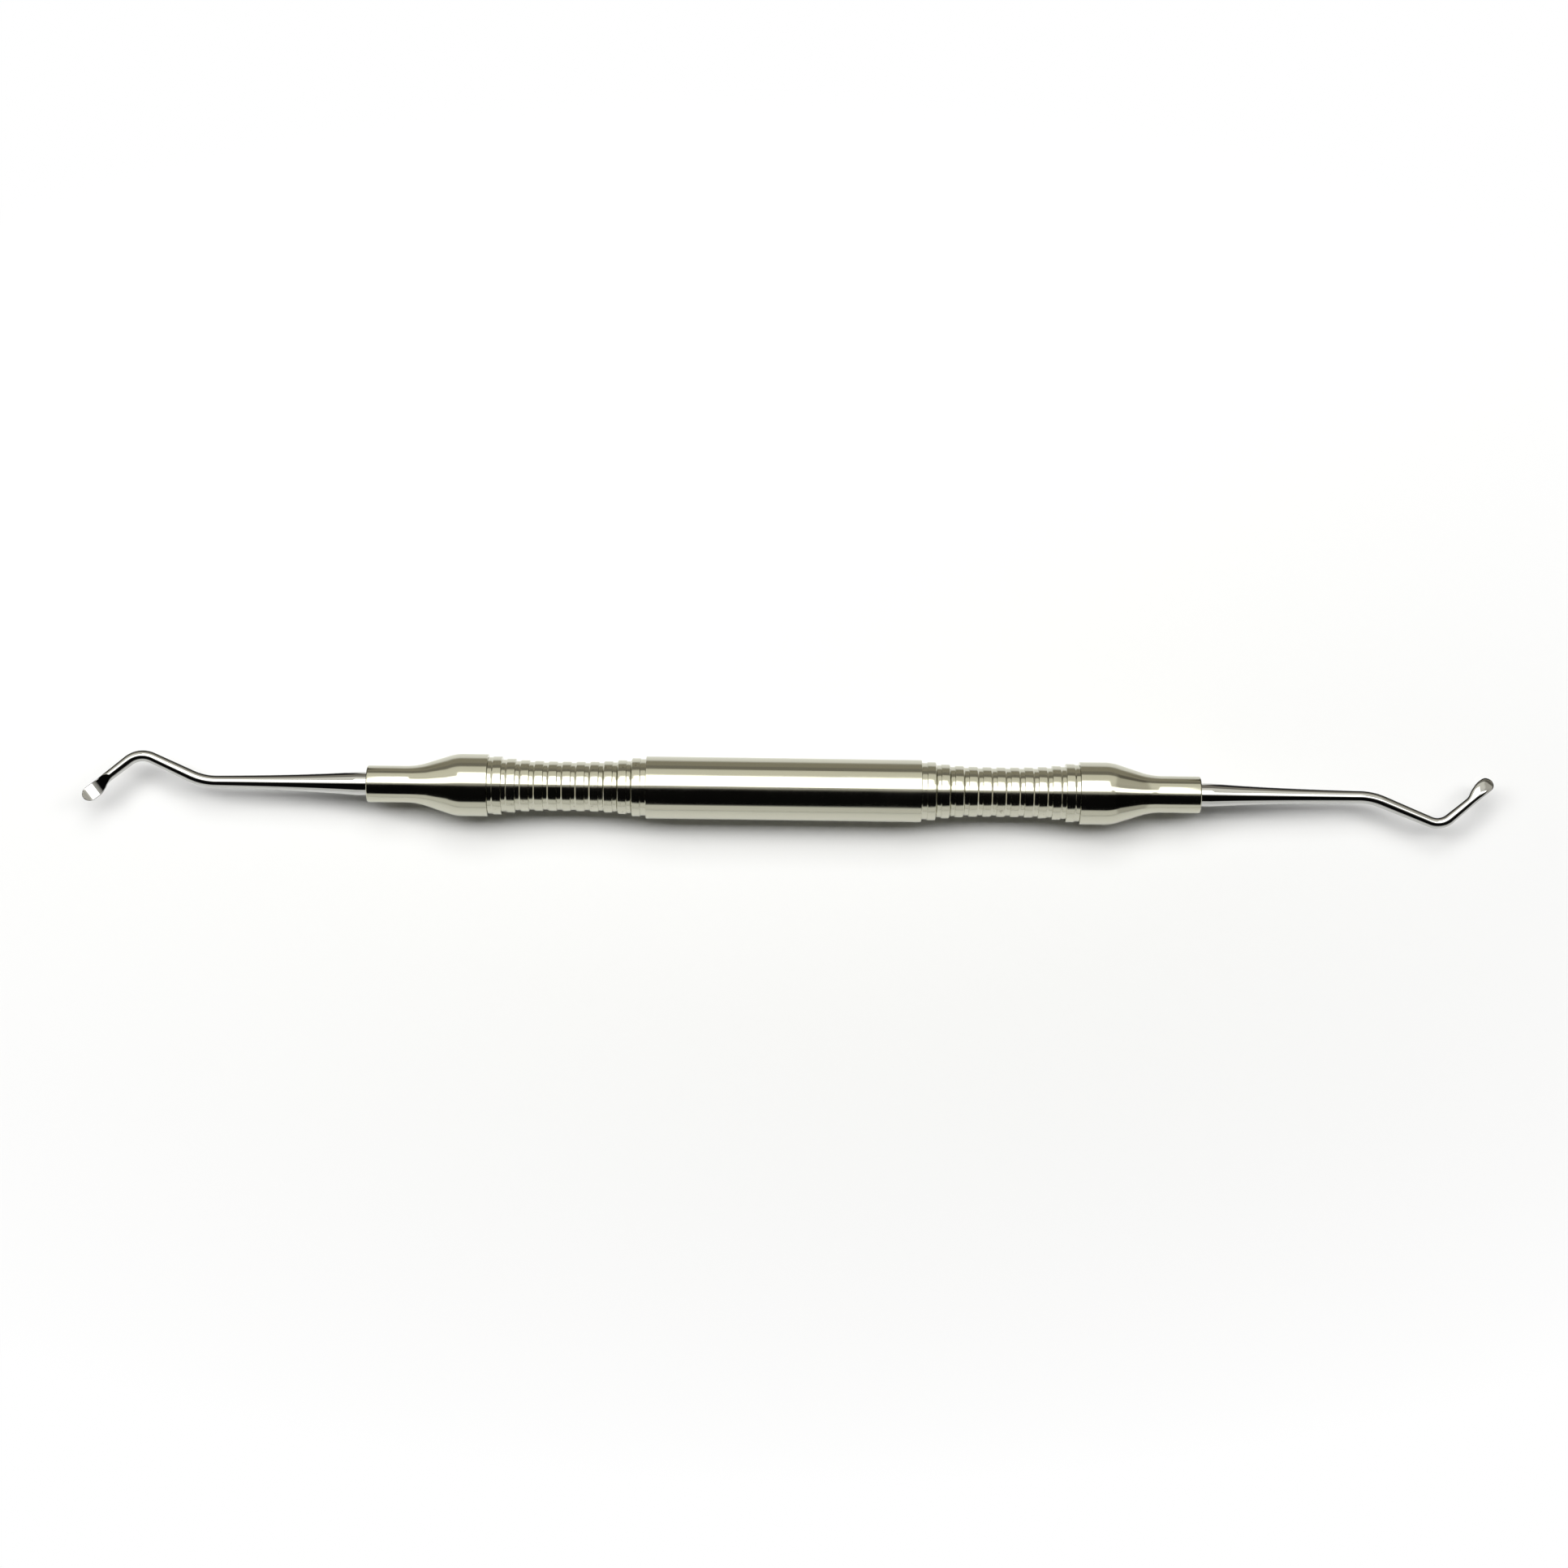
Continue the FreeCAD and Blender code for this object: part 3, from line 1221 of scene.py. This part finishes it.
        # Painted dark reflection: an emission that only glossy rays see, in place of the white
        # table.
        painted_dark = add_node(tree, "ShaderNodeEmission", Color=painted_reflection_tone.outputs[2], Strength=1.0)
        both = add_node(
            tree,
            "ShaderNodeMath",
            {"operation": "MULTIPLY"},
            in0=behind.outputs[0],
            in1=flat.outputs[0],
        )
        share = add_node(
            tree,
            "ShaderNodeMath",
            {"operation": "MULTIPLY"},
            in0=both.outputs[0],
            in1=rays.outputs["Is Glossy Ray"],
        )
        return add_node(
            tree, "ShaderNodeMixShader", in0=share.outputs[0], in1=white, in2=painted_dark.outputs[0]
        ).outputs[0]

    def hang(self, window: Window, light: float, reflected: bool) -> None:
        """Hangs one soft lamp in a window on the +Y side.

        Args:
            window: Its name, limits and lean.
            light: Its radiance.
            reflected: Whether the metal reflects it, or it only lights the table.
        """
        near = self.window_height * math.tan(math.radians(window.near))
        far = self.window_height * math.tan(math.radians(window.far))
        data = bpy.data.lights.new(window.name, "AREA")
        data.shape = "RECTANGLE"
        data.size = (window.x_to - window.x_from) * MM
        data.size_y = (far - near) * MM
        data.energy = light * math.pi * data.size * data.size_y
        lamp = bpy.data.objects.new(window.name, data)
        lamp.location = (
            (window.x_from + window.x_to) / 2 * MM,
            (near + far) / 2 * MM,
            self.window_height * MM,
        )
        lamp.visible_camera = False
        lamp.visible_glossy = reflected
        bpy.context.scene.collection.objects.link(lamp)

    def make_room(self) -> None:
        """Gives the metal a room to reflect: dark overhead and in front, paler low and behind."""
        world = bpy.data.worlds.new("studio")
        world.use_nodes = True
        bpy.context.scene.world = world
        tree = world.node_tree
        tree.nodes.clear()
        ray = add_node(tree, "ShaderNodeTexCoord").outputs["Generated"]
        parts = add_node(tree, "ShaderNodeSeparateXYZ", Vector=ray)
        lean = add_node(
            tree,
            "ShaderNodeMath",
            {"operation": "ARCTAN2"},
            in0=parts.outputs[1],
            in1=parts.outputs[2],
        )
        share = add_node(
            tree,
            "ShaderNodeMapRange",
            Value=lean.outputs[0],
            From_Min=-math.pi,
            From_Max=math.pi,
        )
        room = fill_ramp(
            add_node(tree, "ShaderNodeValToRGB", Fac=share.outputs[0]),
            [((degrees + 180) / 360, (r, g, b, 1)) for degrees, r, g, b in self.room],
        )
        right_wall = fill_ramp(
            add_node(tree, "ShaderNodeValToRGB", Fac=parts.outputs[0]),
            [(self.right_wall_from[0], WHITE), (self.right_wall_from[1], self.right_wall)],
        )
        shaded = add_node(
            tree,
            "ShaderNodeMix",
            {"data_type": "RGBA", "blend_type": "MULTIPLY"},
            in0=1.0,
            in6=room.outputs[0],
            in7=right_wall.outputs[0],
        )
        aside = add_node(
            tree, "ShaderNodeMath", {"operation": "ABSOLUTE"}, in0=parts.outputs[0]
        )
        at_end = add_node(
            tree,
            "ShaderNodeMapRange",
            Value=aside.outputs[0],
            From_Min=self.end_wall_from[0],
            From_Max=self.end_wall_from[1],
        )
        ends = add_node(
            tree,
            "ShaderNodeMix",
            {"data_type": "RGBA"},
            in0=at_end.outputs[0],
            in6=shaded.outputs[2],
            in7=self.end_wall,
        )
        shine = add_node(tree, "ShaderNodeBackground", Color=ends.outputs[2], Strength=1.0)
        glow = add_node(tree, "ShaderNodeBackground", Color=WHITE, Strength=self.fill)
        rays = add_node(tree, "ShaderNodeLightPath")
        mixed = add_node(
            tree,
            "ShaderNodeMixShader",
            in0=rays.outputs["Is Glossy Ray"],
            in1=glow.outputs[0],
            in2=shine.outputs[0],
        )
        plain = add_node(tree, "ShaderNodeBackground", Color=WHITE, Strength=1.0)
        seen = add_node(
            tree,
            "ShaderNodeMixShader",
            in0=rays.outputs["Is Camera Ray"],
            in1=mixed.outputs[0],
            in2=plain.outputs[0],
        )
        add_node(tree, "ShaderNodeOutputWorld", Surface=seen.outputs[0])

    def make_camera(self) -> None:
        """Sets the camera straight above the object."""
        data = bpy.data.cameras.new("camera")
        data.sensor_width = 36.0
        data.lens = self.lens
        data.clip_start = 0.01
        data.clip_end = 20.0
        camera = bpy.data.objects.new("camera", data)
        camera.location = Vector(self.camera_at) * MM
        camera.rotation_euler = (0, 0, math.radians(self.camera_turn))
        bpy.context.scene.collection.objects.link(camera)
        bpy.context.scene.camera = camera

    def build(self) -> None:
        """Sets up table, lamps, room and camera."""
        self.make_floor()
        for window in self.windows:
            self.hang(window, self.window_light, reflected=True)
            self.hang(window, self.table_light, reflected=False)
        self.make_room()
        self.make_camera()
        bpy.context.scene.view_settings.view_transform = "Standard"


# ---------------------------------------------------------------------------- assembly


def main() -> None:
    """Builds the pieces in order, then the studio round them."""
    logging.basicConfig(level=logging.INFO, format="%(name)s %(message)s")
    turned = TurnedSteel().make()
    mirror = MirrorSteel().make()
    Handle().build(turned)
    for side in Side:
        NoseCone(side).build(turned)
    WorkingEnd(
        side=Side.LEFT,
        first_corner=21.1,
        second_leg=8.9,
        second_angle=24.4,
        third_leg=9.2,
        third_angle=38.4,
        second_bend_r=3.0,
        shank_r=0.79,
        apex_r=0.71,
        neck_r=0.66,
        roll=0.0,
    ).build(mirror)
    WorkingEnd(
        side=Side.RIGHT,
        first_corner=21.9,
        second_leg=9.66,
        second_angle=21.8,
        third_leg=8.85,
        third_angle=40.3,
        second_bend_r=2.5,
        shank_r=0.80,
        apex_r=0.69,
        neck_r=0.61,
        roll=15.0,
        flare=(-0.4, 3.1),
    ).build(mirror)
    Studio().build()


if __name__ == "__main__":
    main()
